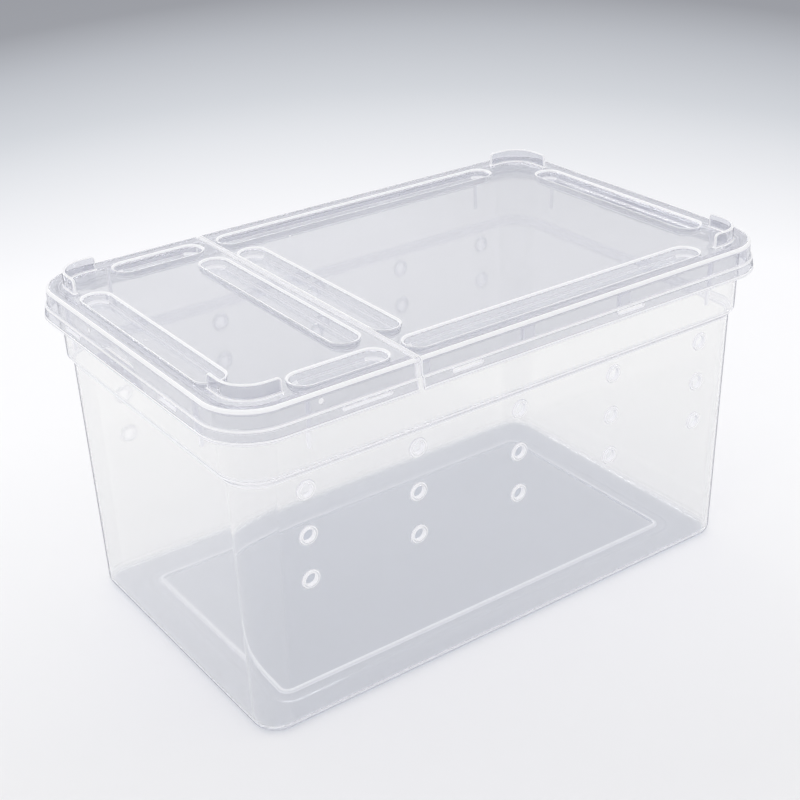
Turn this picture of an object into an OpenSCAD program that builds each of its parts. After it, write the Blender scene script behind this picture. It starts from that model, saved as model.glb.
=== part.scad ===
// Plastic pet keeper: a clear stackable tub with ventilated long walls and a
// lid that folds open in two flaps about a moulded hinge.
// +Z is up, the length runs along X, z = 0 is the table, sizes in millimetres.

/* [Lid] */
// Lid length over the upright band of its skirt
lid_len = 320; // [280:1:380]
// Lid width over the upright band of its skirt
lid_wid = 199; // [180:1:250]
// Height of the lid's top face above the table
lid_top = 176; // [130:1:220]
// Plan radius of the lid's corners
lid_corner = 24.5; // [22:0.5:30]
// Thickness of the lid's top plate
plate_t = 1.6; // [1.2:0.1:2]
// Thickness of the skirt wall
skirt_t = 1.5; // [1.2:0.1:1.6]
// Height of the skirt's upright band
band_h = 8.5; // [7.5:0.5:11]
// Height of the lip below the band
lip_h = 7; // [4.5:0.5:8]
// How far the lip stands outside the band
lip_out = 1.5; // [1:0.1:2]
// Outward flare of the lip at its lower edge
lip_flare = 0.5; // [0.2:0.1:1]
// Rounding of the lid's top edge
lid_edge_r = 1.6; // [0.8:0.1:2.2]
// Radius of the bead along the lip's lower edge
bead_r = 0.9; // [0.8:0.05:1.1]

/* [Fold] */
// Position of the fold line along the length
fold_x = -64.8; // [-72:0.2:-50]
// Width of the slit between the two flaps
slit_w = 3; // [2.4:0.1:4]
// Thickness of the moulded hinge web
web_t = 0.5; // [0.4:0.1:1]
// Clearance between the web and each flap
web_gap = 0.3; // [0.2:0.05:0.4]

/* [Stiffening channels] */
// Width of each channel at the lid's top face
chan_w = 13.8; // [11:0.2:15]
// Depth of each channel
chan_d = 5; // [3:0.5:6.5]
// Wall thickness of the channels
chan_t = 1.3; // [1:0.1:1.4]
// How much each channel wall leans in over its depth
chan_lean = 0.7; // [0.3:0.1:1.5]
// Clearance between the outer channels and the inside of the tub's collar
chan_gap = 0.8; // [0.6:0.1:2]
// Distance from the corner axes to the ends of the channels along the lid's ends
end_chan_in = 13; // [11:0.5:25]
// Distance from the corner axes to the ends of the channels beside the fold
fold_chan_in = 9.5; // [9:0.5:25]
// Space between a stacking tab and the long channel beside it
tab_chan_gap = 8; // [6:0.5:14]
// Space from the fold line to the small flap's channel
fold_chan_small = 5.5; // [4.5:0.1:8]
// Space from the fold line to the large flap's channel
fold_chan_large = 3.4; // [3.2:0.1:6]
// Space from the fold line to the ends of the front and back channels, small flap
side_chan_small = 7; // [6:0.5:12]
// Space from the fold line to the ends of the front and back channels, large flap
side_chan_large = 5; // [4:0.5:12]

/* [Stacking tabs] */
// Height of the corner tabs above the lid
tab_h = 7.5; // [5:0.5:10]
// Thickness of the corner tabs
tab_t = 1.6; // [1.2:0.1:2]
// Straight run of a tab along the lid's length
tab_run_x = 7; // [5:0.5:9]
// Straight run of a tab along the lid's width
tab_run_y = 9; // [5:0.5:10]
// Radius of the tabs' upper ends
tab_round = 3.5; // [2:0.5:4.5]
// Clearance between the tabs and the foot of a box stacked on the lid
stack_gap = 0.5; // [0.4:0.1:1]

/* [Tub] */
// Height of the collar, from the step to the rim
collar_h = 35.8; // [28:0.2:44]
// Distance from the lid's band in to the top of the collar
collar_in = 5.2; // [4:0.1:6.5]
// How much the collar leans out from the step to the rim
collar_lean = 0.6; // [0.2:0.1:1]
// Length of the slender ribs on the collar, down from the rim
rib_len = 24.5; // [16:0.5:28]
// Distance from the corner axes to the slender ribs on the long sides
rib_in = 15.5; // [8:0.5:24]
// Distance from the corner axes to the slender ribs on the ends
end_rib_in = 11; // [8:0.5:24]
// Width of the slender ribs
rib_w = 1.6; // [1.2:0.1:2]
// How far the slender ribs stand out of the collar
rib_out = 2; // [1.5:0.1:2.5]
// Height of the broad gussets under the rim flange
gusset_h = 8; // [5:0.5:12]
// Width of the broad gussets
gusset_w = 7; // [4:0.5:10]
// How far the gussets stand out of the collar
gusset_out = 2.6; // [1.5:0.1:2.8]
// Wall thickness of the tub
wall_t = 1.6; // [1.2:0.1:2]
// How much each tub wall leans out from foot to step
wall_lean = 2.5; // [1.5:0.1:3]
// Width of the step to the collar
step_out = 2.7; // [2:0.1:3]
// Height of the step's slope, from the wall up to the collar
step_rise = 3.2; // [1.6:0.1:4]
// Rounding of the tub's lower edge
foot_r = 5; // [3.5:0.5:7]
// Clearance between the rim and the lid's plate
seat_gap = 0.2; // [0.1:0.05:0.4]
// Clearance between the rim flange and the lid's skirt
flange_gap = 0.5; // [0.4:0.05:0.8]
// Thickness of the rim flange
flange_t = 1.7; // [1.4:0.1:2]
// Distance from the foot of the wall in to the raised floor panel
panel_in = 23.5; // [16:0.5:35]
// Plan radius of the raised panel's corners
panel_r = 5; // [3:0.5:16]
// Height of the raised panel
panel_rise = 1.2; // [0.6:0.1:1.4]

/* [Lip slots and thumb recesses] */
// Length of the slots in the lip of the large flap's long sides
side_slot_len = 17; // [12:0.5:22]
// Distance from the fold line to the first of these slots
side_slot_near = 25.8; // [18:0.2:50]
// Distance from the fold line to the second
side_slot_far = 125.6; // [90:0.2:150]
// Height of these slots and of those in the ends
slot_h = 2.4; // [1.6:0.1:2.6]
// Distance from the band's lower edge down to the middle of the slots
slot_drop = 2.6; // [2.2:0.1:2.8]
// Length of the slots in the lip at both ends
end_slot_len = 16; // [12:0.5:22]
// Distance from the corner axes to the slots at both ends
end_slot_in = 27; // [18:0.5:45]
// Length of the thin slots in the small flap's long sides
thin_slot_len = 26; // [16:0.5:30]
// Height of the thin slots
thin_slot_h = 1.6; // [1:0.1:2]
// Distance from the fold line to the thin slots
thin_slot_at = 28.5; // [24:0.5:40]
// Radius of the arched thumb recesses at both ends
thumb_r = 26; // [20:1:40]
// Plain strip of band above the thumb recesses
thumb_top = 3; // [2.5:0.5:4]
// Depth of the thumb recesses
thumb_d = 0.7; // [0.3:0.1:0.8]

/* [Vents] */
// Bore of the vent holes
vent_d = 6; // [4:0.2:7.4]
// Outside diameter of the collar round each vent hole
vent_ring_d = 9.4; // [8.6:0.2:11]
// How far the collars stand out of the wall
vent_ring_h = 0.8; // [0.6:0.1:1]
// Distance from the corner axes to the end columns of vents
vent_in = 14.5; // [8:0.5:30]
// Spacing of the vent rows
vent_dz = 23.3; // [18:0.1:26]
// Distance from the foot of the collar down to the top row of vents
vent_drop = 11.8; // [9:0.2:20]

/* [Hidden] */
$fn = 48;
// Corner axes shared by the tub and the lid
cx = lid_len / 2 - lid_corner;
cy = lid_wid / 2 - lid_corner;
// Heights
z_under = lid_top - plate_t;
z_band = lid_top - band_h;
z_lip = z_band - lip_h;
z_rim = z_under - seat_gap;
z_flange = z_rim - flange_t;
z_step = z_rim - collar_h;
z_wall = z_step - step_rise;
// Radii about the corner axes, from the lid's skirt inward
r_band = lid_corner;
r_skin = r_band - skirt_t;
r_lip = r_band + lip_out;
r_lip_end = r_lip + lip_flare;
r_flange = r_skin - flange_gap;
r_rim = r_band - collar_in;
r_collar = r_rim - collar_lean;
r_step = r_collar - step_out;
r_foot = r_step - wall_lean;
r_tab = r_foot + stack_gap + tab_t;
r_chan = r_rim - wall_t - chan_gap - chan_t;
// Slope of the tub's wall
lean = wall_lean / z_wall;
lean_n = sqrt(1 + lean * lean);
half_len = lid_len / 2;
half_wid = lid_wid / 2;
z_slot = z_band - slot_drop;
chan_r = chan_w / 2;
// Raised floor panel
panel_len = 2 * (cx + r_foot - panel_in);
panel_wid = 2 * (cy + r_foot - panel_in);
// Five vent columns in three rows
vent_dx = (cx - vent_in) / 2;
vent_z = z_step - vent_drop;

// A closed outline carried round the four corner axes
module round_the_corners() {
  for (i = [0:3]) {
    ax = (i % 2 == 0) ? cx : cy;
    ay = (i % 2 == 0) ? cy : cx;
    rotate([0, 0, 90 * i]) {
      translate([ax, ay, 0]) rotate_extrude(angle = 90, $fn = 96) children();
      translate([ax, ay, 0]) rotate([90, 0, 0]) linear_extrude(height = 2 * ay) children();
    }
  }
}

// Filled section of the tub's wall, grown inward by t
module tub_section(t) {
  r0 = r_foot - t * lean_n;
  zb = (t > 0) ? wall_t : 0;
  rr = foot_r - t;
  uc = r0 + lean * (zb + rr) - rr * lean_n;
  ut = uc + rr / lean_n;
  zt = zb + rr - rr * lean / lean_n;
  polygon([
    [0, zb],
    [uc, zb],
    [ut, zt],
    [r_step - t, z_wall + t * 0.5],
    [r_collar - t, z_step + t * 0.5],
    [r_rim - t, z_rim + (t > 0 ? 1 : 0)],
    [0, z_rim + (t > 0 ? 1 : 0)]
  ]);
  translate([uc, zb + rr]) circle(r = rr, $fn = 48);
}

// Section through the tub's wall, floor margin and rim flange
module tub_wall_section() {
  intersection() {
    difference() {
      union() {
        tub_section(0);
        translate([r_rim - 1, z_flange]) square([r_flange - r_rim + 1, flange_t]);
      }
      tub_section(wall_t);
    }
    square([r_flange + 1, z_rim]);
  }
}

// Rounded rectangle block standing on z
module round_block(len, wid, r, z, h) {
  translate([-len / 2 + r, -wid / 2, z]) cube([len - 2 * r, wid, h]);
  translate([-len / 2, -wid / 2 + r, z]) cube([len, wid - 2 * r, h]);
  for (sx = [-1, 1], sy = [-1, 1]) {
    translate([sx * (len / 2 - r), sy * (wid / 2 - r), z]) cylinder(r = r, h = h);
  }
}

// Outer face of the tub's long wall at height z
function wall_y(z) = cy + r_foot + lean * z;

// Collar round one vent hole, standing through the long wall
module vent_collar(x, z, s) {
  y0 = wall_y(z) - wall_t / 2;
  translate([x, s * y0, z]) rotate([-90 * s, 0, 0])
    cylinder(d = vent_ring_d, h = wall_t / 2 + vent_ring_h);
}

// Bore of one vent hole
module vent_bore(x, z, s) {
  y0 = wall_y(z) - wall_t - 1.5;
  translate([x, s * y0, z]) rotate([-90 * s, 0, 0]) cylinder(d = vent_d, h = wall_t + 5);
}

// Vertical rib on the outside of the collar, len down from the rim flange
module collar_rib(len, w, out) {
  translate([r_collar - 1, -w / 2, z_flange - len]) cube([out + 1, w, len + 0.5]);
}

// The tub with its floor panel, vents, ribs and gussets
module tub() {
  color([0.86, 0.88, 0.95, 0.4]) {
    difference() {
      union() {
        round_the_corners() tub_wall_section();
        translate([-cx, -cy, 0]) cube([2 * cx, 2 * cy, wall_t]);
        // Raised panel in the floor
        round_block(panel_len, panel_wid, panel_r, 0, wall_t + panel_rise);
        for (s = [-1, 1]) {
          for (i = [-2:2], k = [0:2]) {
            vent_collar(i * vent_dx, vent_z - k * vent_dz, s);
          }
          // Slender ribs near the corners
          for (q = [-1, 1]) {
            rotate([0, 0, s * 90]) translate([cy, q * (cx - rib_in), 0])
              collar_rib(rib_len, rib_w, rib_out);
            rotate([0, 0, 90 - s * 90]) translate([cx, q * (cy - end_rib_in), 0])
              collar_rib(rib_len, rib_w, rib_out);
          }
          // Broad gussets under the rim flange
          for (i = [-1:1]) {
            translate([i * vent_dx, s * cy, 0]) rotate([0, 0, s * 90])
              collar_rib(gusset_h, gusset_w, gusset_out);
          }
        }
      }
      // Hollow under the raised panel
      round_block(panel_len - 2 * wall_t, panel_wid - 2 * wall_t, panel_r - wall_t,
        -1, 1 + panel_rise);
      for (s = [-1, 1], i = [-2:2], k = [0:2]) {
        vent_bore(i * vent_dx, vent_z - k * vent_dz, s);
      }
    }
  }
}

// Outer outline of the lid's plate and skirt
module lid_outside() {
  polygon([
    [0, lid_top],
    [r_band - lid_edge_r, lid_top],
    [r_band, lid_top - lid_edge_r],
    [r_band + 0.15, z_band],
    [r_lip, z_band - 0.5],
    [r_lip_end, z_lip],
    [0, z_lip]
  ]);
  translate([r_band - lid_edge_r, lid_top - lid_edge_r]) circle(r = lid_edge_r, $fn = 48);
}

// Inner outline of the lid's skirt
module lid_inside() {
  polygon([
    [0, z_under],
    [r_skin, z_under],
    [r_skin + 0.15, z_band - 1.2],
    [r_lip - skirt_t, z_band - 1.8],
    [r_lip_end - skirt_t, z_lip],
    [r_lip_end - skirt_t, z_lip - 2],
    [0, z_lip - 2]
  ]);
}

// Section through the lid's plate and skirt
module lid_section() {
  difference() {
    lid_outside();
    lid_inside();
  }
  translate([r_lip_end - 0.5, z_lip + bead_r]) circle(r = bead_r, $fn = 32);
}

// Long block with round ends along X, leaning in from r_hi at the top to r_lo below
module lean_slot(len, r_hi, r_lo, z, h) {
  c = len / 2 - chan_r;
  for (s = [-1, 1]) {
    translate([s * c, 0, z]) cylinder(r1 = r_lo, r2 = r_hi, h = h);
  }
  translate([c, 0, z]) rotate([90, 0, -90]) linear_extrude(height = 2 * c)
    polygon([[-r_lo, 0], [r_lo, 0], [r_hi, h], [-r_hi, h]]);
}

// Places for the channels of a flap: centre x, centre y, length, turn
end_x = cx + r_chan - chan_r;
side_y = cy + r_chan - chan_r;
side_end = cx - tab_run_x - tab_chan_gap;
small_mid = (fold_x - side_chan_small - side_end) / 2;
small_side = side_end + fold_x - side_chan_small;
large_mid = (fold_x + side_chan_large + side_end) / 2;
large_side = side_end - fold_x - side_chan_large;
small_chans = [
  [-end_x, 0, 2 * (cy - end_chan_in), 90],
  [fold_x - fold_chan_small - chan_r, 0, 2 * (cy - fold_chan_in), 90],
  [small_mid, side_y, small_side, 0],
  [small_mid, -side_y, small_side, 0]
];
large_chans = [
  [end_x, 0, 2 * (cy - end_chan_in), 90],
  [fold_x + fold_chan_large + chan_r, 0, 2 * (cy - fold_chan_in), 90],
  [large_mid, side_y, large_side, 0],
  [large_mid, -side_y, large_side, 0]
];

// Bodies of the channels, hanging under the plate
module chan_bodies(list) {
  r_out = chan_r + chan_t;
  h_out = chan_d + chan_t;
  for (c = list) {
    translate([c[0], c[1], 0]) rotate([0, 0, c[3]])
      lean_slot(c[2], r_out, r_out - chan_lean, lid_top - h_out, h_out - 0.4);
  }
}

// Open hollows of the channels
module chan_hollows(list) {
  for (c = list) {
    translate([c[0], c[1], 0]) rotate([0, 0, c[3]])
      lean_slot(c[2], chan_r + 0.2, chan_r - chan_lean, lid_top - chan_d, chan_d + 1);
  }
}

// One straight run of a stacking tab, with its upper end rounded
module tab_run(run) {
  rotate([90, 0, 0]) linear_extrude(height = tab_t) {
    square([run - tab_round, tab_h + 0.5]);
    square([run, tab_h + 0.5 - tab_round]);
    translate([run - tab_round, tab_h + 0.5 - tab_round]) circle(r = tab_round);
  }
}

// Stacking tab at the corner on side sx, sy
module stack_tab(sx, sy) {
  r_in = r_tab - tab_t;
  mirror([sx < 0 ? 1 : 0, 0, 0]) mirror([0, sy < 0 ? 1 : 0, 0])
    translate([cx, cy, lid_top - 0.5]) {
      rotate_extrude(angle = 90, $fn = 64) translate([r_in, 0]) square([tab_t, tab_h + 0.5]);
      translate([0, r_in, 0]) mirror([1, 0, 0]) mirror([0, 1, 0]) tab_run(tab_run_x);
      translate([r_in, 0, 0]) rotate([0, 0, -90]) mirror([0, 1, 0]) tab_run(tab_run_y);
    }
}

// Slot with round ends through the lip, w long, centred at the origin, along X
module lip_slot(w, h) {
  rotate([90, 0, 0]) translate([0, 0, -3]) {
    for (s = [-1, 1]) translate([s * (w - h) / 2, 0, 0]) cylinder(d = h, h = 6, $fn = 24);
    translate([-(w - h) / 2, -h / 2, 0]) cube([w - h, h, 6]);
  }
}

// Slots in the lip: in both long sides at xs, in the end on side sx
module lip_slots(xs, len, h, sx) {
  for (x = xs, s = [-1, 1]) {
    translate([x, s * (half_wid + lip_out), z_slot]) lip_slot(len, h);
  }
  for (s = [-1, 1]) {
    translate([sx * (half_len + lip_out), s * (cy - end_slot_in), z_slot])
      rotate([0, 0, 90]) lip_slot(end_slot_len, slot_h);
  }
}

// Arched thumb recess in the band at the end sx
module thumb_recess(sx) {
  intersection() {
    translate([sx * (half_len + 1), 0, lid_top - thumb_top - thumb_r]) rotate([0, 90, 0])
      cylinder(r = thumb_r, h = 2 * (1 + thumb_d), center = true, $fn = 96);
    translate([sx * (half_len + 1) - 2, -thumb_r, z_band]) cube([4, 2 * thumb_r, band_h]);
  }
}

// Plate and skirt of the whole lid
module lid_blank() {
  round_the_corners() lid_section();
  translate([-cx, -cy, z_under]) cube([2 * cx, 2 * cy, plate_t]);
}

// Block that takes away the lid beyond the slit, on the side s of x
module beyond(x, s) {
  translate([x + (s < 0 ? -lid_len : 0), -half_wid - 10, z_lip - 5])
    cube([lid_len, lid_wid + 20, lid_top]);
}

// The lid's small flap, on the -X side of the fold
module small_flap() {
  color([0.88, 0.9, 0.96, 0.4]) {
    difference() {
      union() {
        difference() {
          lid_blank();
          beyond(fold_x - slit_w / 2, 1);
        }
        chan_bodies(small_chans);
        stack_tab(-1, -1);
        stack_tab(-1, 1);
      }
      chan_hollows(small_chans);
      lip_slots([fold_x - thin_slot_at], thin_slot_len, thin_slot_h, -1);
      thumb_recess(-1);
    }
  }
}

// The lid's large flap, on the +X side of the fold
module large_flap() {
  color([0.88, 0.9, 0.96, 0.4]) {
    difference() {
      union() {
        difference() {
          lid_blank();
          beyond(fold_x + slit_w / 2, -1);
        }
        chan_bodies(large_chans);
        stack_tab(1, -1);
        stack_tab(1, 1);
      }
      chan_hollows(large_chans);
      lip_slots([fold_x + side_slot_near, fold_x + side_slot_far], side_slot_len, slot_h, 1);
      thumb_recess(1);
    }
  }
}

// The thin web that joins the flaps along the fold
module hinge_web() {
  color([0.92, 0.94, 0.98, 0.5])
    translate([fold_x - slit_w / 2 + web_gap, -half_wid + 2, lid_top - web_t])
      cube([slit_w - 2 * web_gap, lid_wid - 4, web_t]);
}

tub();
small_flap();
large_flap();
hinge_web();
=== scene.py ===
import logging
import math
from dataclasses import dataclass, field
from enum import Enum

import bmesh
import bpy
from bmesh.types import BMEdge, BMesh, BMFace, BMLayerItem, BMVert
from bpy.types import Camera, Light, Material, Mesh, Node, NodeSocket, NodeTree, Object, World
from mathutils import Matrix, Vector


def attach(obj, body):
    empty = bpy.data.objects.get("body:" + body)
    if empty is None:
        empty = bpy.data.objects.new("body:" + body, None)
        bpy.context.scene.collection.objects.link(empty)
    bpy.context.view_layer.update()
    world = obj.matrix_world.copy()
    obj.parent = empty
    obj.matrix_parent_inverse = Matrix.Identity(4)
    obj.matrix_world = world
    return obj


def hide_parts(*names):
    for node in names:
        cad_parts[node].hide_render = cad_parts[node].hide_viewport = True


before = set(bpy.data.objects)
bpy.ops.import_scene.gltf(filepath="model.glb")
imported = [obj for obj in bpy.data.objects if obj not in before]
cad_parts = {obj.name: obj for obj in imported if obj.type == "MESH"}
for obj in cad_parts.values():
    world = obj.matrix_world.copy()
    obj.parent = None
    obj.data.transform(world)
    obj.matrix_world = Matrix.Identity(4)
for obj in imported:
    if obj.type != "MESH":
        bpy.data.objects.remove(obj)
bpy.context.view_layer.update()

Pair = tuple[float, float]

logging.basicConfig(level=logging.INFO, format="%(message)s")
LOG = logging.getLogger("pet_keeper")

MM = 0.001  # the meshes are modelled in millimetres and brought to metres at the end
UP = Vector((0.0, 0.0, 1.0))
QUARTER = math.pi / 2
CORNER_STEPS = 44  # facets in each quarter turn of the box's corners
FLAT = 0.02  # how far from a plane a point may lie and still be in it, in millimetres
TINY = 1e-4  # shorter than this is nothing, in millimetres
WELD = 0.002  # points closer than this are merged, in millimetres
PARALLEL = 0.01  # sine of the angle up to which two normals count as parallel
BESIDE = 0.7  # how far before or behind a point the face that is meant may lie, in millimetres
SHARP = math.radians(50)  # edges that turn by more are shaded sharp
NOWHERE = Vector((0.0, 0.0, 0.0))
ALONG_X = Vector((1.0, 0.0, 0.0))
ALONG_Y = Vector((0.0, 1.0, 0.0))

EDGE_LIGHT = "edge_light"  # face attribute of painted highlight: 1 on tight roundings, which the finish paints milky white, 0 on flat walls
BASE_SHADE = "base_shade"  # face attribute of painted shade: 1 on the base plate, which dims the light through it so the table under the box looks darker
EDGE_BEND = (0.15, 0.6)  # bend per millimetre at which edge light starts, and at which it is full
CORNER_BEND = (0.035, 0.055)  # the same for the faint light of the box's wide upright corners
CORNER_LIGHT = 0.07  # edge light of those corners
HOLLOW_LIGHT = (0.1, 0.8)  # share of edge light in a hollow rounding: a straight one, and one round a bend
ROUND_BEND = 0.08  # second bend per millimetre from which a hollow counts as going round a bend
UNDER_LIGHT = 0.4  # share of edge light on roundings that face down
FACES_DOWN = -0.5  # upward part of the normal below which a face faces down
STRAIGHT = 0.01  # a triangle with an edge that bends less per millimetre lies in a flat area

# Corner axes that the tub and the lid share
AXIS_X = 135.5
AXIS_Y = 75.0
CORNER_AXIS = Vector((AXIS_X, AXIS_Y, 0.0))
LID_TOP = 176.0
FOLD_X = -64.8


def linear(code: str) -> tuple[float, float, float, float]:
    """Turn an sRGB hex colour into the linear colour that shader sockets take.

    Args:
        code: Six hex digits after a hash, such as "#dfe2ee".

    Returns:
        Red, green and blue in linear light, and an alpha of 1.
    """
    parts = [int(code[i : i + 2], 16) / 255 for i in (1, 3, 5)]
    r, g, b = (c / 12.92 if c <= 0.04045 else ((c + 0.055) / 1.055) ** 2.4 for c in parts)
    return r, g, b, 1.0


def add_node(tree: NodeTree, kind: str, settings: dict[str, object] | None = None, **inputs: object) -> Node:
    """Add a shader node, set its properties and sockets, and link what comes from another node.

    Args:
        tree: The node tree that gets the node.
        kind: Blender's name of the node type, without its leading "ShaderNode".
        settings: Property names and values to set on the node.
        **inputs: Input sockets by name, with underscores for spaces, or by number after "i". Each
            takes a value, an output socket, or a node that stands for its first output.

    Returns:
        The new node.
    """
    node = tree.nodes.new("ShaderNode" + kind)
    for name, value in (settings or {}).items():
        setattr(node, name, value)
    for name, value in inputs.items():
        key = int(name[1:]) if name[0] == "i" and name[1:].isdigit() else name.replace("_", " ")
        source = value.outputs[0] if isinstance(value, Node) else value
        if isinstance(source, NodeSocket):
            tree.links.new(source, node.inputs[key])
        else:
            node.inputs[key].default_value = source
    return node


def clear_tree(owner: Material | World) -> NodeTree:
    """Switch a material or world to nodes and empty its tree.

    Args:
        owner: The material or world.

    Returns:
        Its empty tree.
    """
    owner.use_nodes = True
    owner.node_tree.nodes.clear()
    return owner.node_tree


def put_in_scene(name: str, data: Mesh | Camera | Light) -> Object:
    """Make an object and link it to the scene.

    Args:
        name: The object's name.
        data: The mesh, camera or lamp that it shows.

    Returns:
        The object, at the origin.
    """
    thing = bpy.data.objects.new(name, data)
    bpy.context.scene.collection.objects.link(thing)
    return thing


def face_layer(shape: BMesh, name: str) -> BMLayerItem:
    """Give a mesh's face attribute of a name, made if it isn't there yet."""
    return shape.faces.layers.float.get(name) or shape.faces.layers.float.new(name)


def points_of(made: list) -> list[BMVert]:
    """Pick the points out of what an operator made."""
    return [g for g in made if isinstance(g, BMVert)]


@dataclass(frozen=True)
class Corner:
    """One corner of a moulding's section: how far out, how high, and how softly it is rounded."""

    out: float
    up: float
    soft: float = 0.0
    steps: int = 3


class Softened(Enum):
    """What a bevel rounds: the corners of a wire or the edges of a shell."""

    CORNERS = "VERTICES"
    EDGES = "EDGES"


def rise_between(value: float, span: Pair) -> float:
    """Tell how far a value has come between two others, from 0 to 1."""
    return min(max((value - span[0]) / (span[1] - span[0]), 0.0), 1.0)


@dataclass
class Form:
    """A surface being modelled with bmesh operators, in millimetres."""

    bm: BMesh = field(default_factory=bmesh.new, init=False, repr=False)
    thing: Object | None = field(default=None, init=False, repr=False)

    def soften(self, what: Softened, geom: list, offset: float, steps: int) -> None:
        """Round corners or edges with a bevel.

        Args:
            what: Whether corners or edges are rounded.
            geom: The points or the edges.
            offset: How far from the corner the rounding starts.
            steps: Facets in the rounding.
        """
        bmesh.ops.bevel(
            self.bm,
            geom=geom,
            offset=offset,
            offset_type="OFFSET",
            segments=steps,
            profile=0.5,
            affect=what.value,
            material=-1,
            clamp_overlap=True,
        )

    def slice(self, point: Vector, normal: Vector, **clear: bool) -> None:
        """Cut everything along a plane.

        Args:
            point: A point of the plane.
            normal: The plane's unit normal.
            **clear: clear_inner or clear_outer, which drops what lies behind or before the plane.
        """
        everything = self.bm.verts[:] + self.bm.edges[:] + self.bm.faces[:]
        bmesh.ops.bisect_plane(self.bm, geom=everything, dist=TINY, plane_co=point, plane_no=normal, **clear)

    def step_in(self, face: BMFace, steps: tuple[Pair, ...]) -> None:
        """Inset one face several times over.

        Args:
            face: The face, which stays the innermost.
            steps: How far in and how far up each step goes.
        """
        for inset, lift in steps:
            bmesh.ops.inset_region(
                self.bm, faces=[face], thickness=inset, depth=lift, use_even_offset=True, use_boundary=True
            )

    def draw(self, corners: list[Corner], origin: Vector, across: Vector) -> None:
        """Draw a section as a wire and round its corners.

        Args:
            corners: The section's corners in order.
            origin: Where the section's zero stands.
            across: Unit vector along which the corners' out is measured.
        """
        verts = [self.bm.verts.new(origin + across * c.out + UP * c.up) for c in corners]
        for pair in zip(verts, verts[1:]):
            self.bm.edges.new(pair)
        for vert, corner in zip(verts, corners):
            if corner.soft > 0:
                self.soften(Softened.CORNERS, [vert], corner.soft, corner.steps)

    def push(self, edges: list[BMEdge], move: Vector) -> list[BMEdge]:
        """Extrude a wire and move its new end.

        Args:
            edges: The wire's edges.
            move: How far and where the new end goes.

        Returns:
            The edges of the new end.
        """
        made = bmesh.ops.extrude_edge_only(self.bm, edges=edges)["geom"]
        verts = points_of(made)
        bmesh.ops.translate(self.bm, vec=move, verts=verts)
        return [g for g in made if isinstance(g, BMEdge) and set(g.verts) <= set(verts)]

    def turn(
        self, edges: list[BMEdge], centre: Vector, angle: float, steps: int
    ) -> list[BMEdge]:
        """Spin a wire about an upright axis.

        Args:
            edges: The wire's edges.
            centre: A point on the axis.
            angle: How far it turns, in radians.
            steps: Facets in the turn.

        Returns:
            The edges of the new end.
        """
        made = bmesh.ops.spin(
            self.bm,
            geom=list(dict.fromkeys(v for e in edges for v in e.verts)) + list(edges),
            cent=centre,
            axis=UP,
            dvec=NOWHERE,
            angle=angle,
            steps=steps,
            use_merge=angle >= 2 * math.pi,
            use_normal_flip=False,
            use_duplicate=False,
        )["geom_last"]
        return [g for g in made if isinstance(g, BMEdge)]

    def turn_whole(self, steps: int) -> None:
        """Spin the drawn wire all the way round the upright axis through zero.

        Args:
            steps: Facets in the turn.
        """
        self.turn(self.bm.edges[:], NOWHERE, 2 * math.pi, steps)
        self.weld()

    def carry_round(self, axis_x: float, axis_y: float, steps: int) -> None:
        """Carry the drawn wire round four corner axes, back to where it starts.

        Args:
            axis_x: How far the corner axes lie from the middle along X.
            axis_y: The same along Y.
            steps: Facets in each quarter turn.
        """
        edges = self.bm.edges[:]
        for x, y, leg in (
            (axis_x, axis_y, -2 * axis_x * ALONG_X),
            (-axis_x, axis_y, -2 * axis_y * ALONG_Y),
            (-axis_x, -axis_y, 2 * axis_x * ALONG_X),
            (axis_x, -axis_y, 2 * axis_y * ALONG_Y),
        ):
            edges = self.turn(edges, Vector((x, y, 0)), QUARTER, steps)
            if leg.length > TINY:
                edges = self.push(edges, leg)
        self.weld()

    def weld(self) -> None:
        """Merge points that lie on each other."""
        bmesh.ops.remove_doubles(self.bm, verts=self.bm.verts[:], dist=WELD)

    def light_up(self, value: float) -> None:
        """Give all the form's faces edge light of their own, a painted highlight.

        Args:
            value: From 0 for none to 1.
        """
        layer = face_layer(self.bm, EDGE_LIGHT)
        for face in self.bm.faces:
            face[layer] = value

    def take(self, other: "Form", place: Matrix) -> None:
        """Add another form to this one and let go of it.

        Args:
            other: The form to add.
            place: Where it goes.
        """
        bmesh.ops.transform(other.bm, matrix=place, verts=other.bm.verts[:])
        mesh = bpy.data.meshes.new("form")
        other.bm.to_mesh(mesh)
        self.bm.from_mesh(mesh)
        bpy.data.meshes.remove(mesh)
        other.bm.free()

    def open_edges(self, point: Vector, normal: Vector) -> list[BMEdge]:
        """List the open edges in a plane.

        Args:
            point: A point of the plane.
            normal: The plane's unit normal.

        Returns:
            Edges in the plane with fewer than two faces.
        """
        edges = (e for e in self.bm.edges if len(e.link_faces) < 2)
        return [e for e in edges if all(abs((v.co - point).dot(normal)) < FLAT for v in e.verts)]

    def fill(self, point: Vector, normal: Vector) -> None:
        """Close a flat area between all the open edges in a plane, holes and all.

        Args:
            point: A point of the plane.
            normal: The plane's unit normal.
        """
        edges = self.open_edges(point, normal)
        bmesh.ops.triangle_fill(self.bm, use_beauty=True, use_dissolve=False, edges=edges, normal=normal)

    def fill_levels(self, *levels: float) -> None:
        """Close the flat areas at some heights."""
        for z in levels:
            self.fill(UP * z, UP)

    def cap(self, point: Vector, normal: Vector) -> BMFace:
        """Close one loop of open edges in a plane with a single face.

        Args:
            point: A point of the plane.
            normal: The plane's unit normal.

        Returns:
            The new face.
        """
        made = bmesh.ops.contextual_create(self.bm, geom=self.open_edges(point, normal))
        return made["faces"][0]

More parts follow.
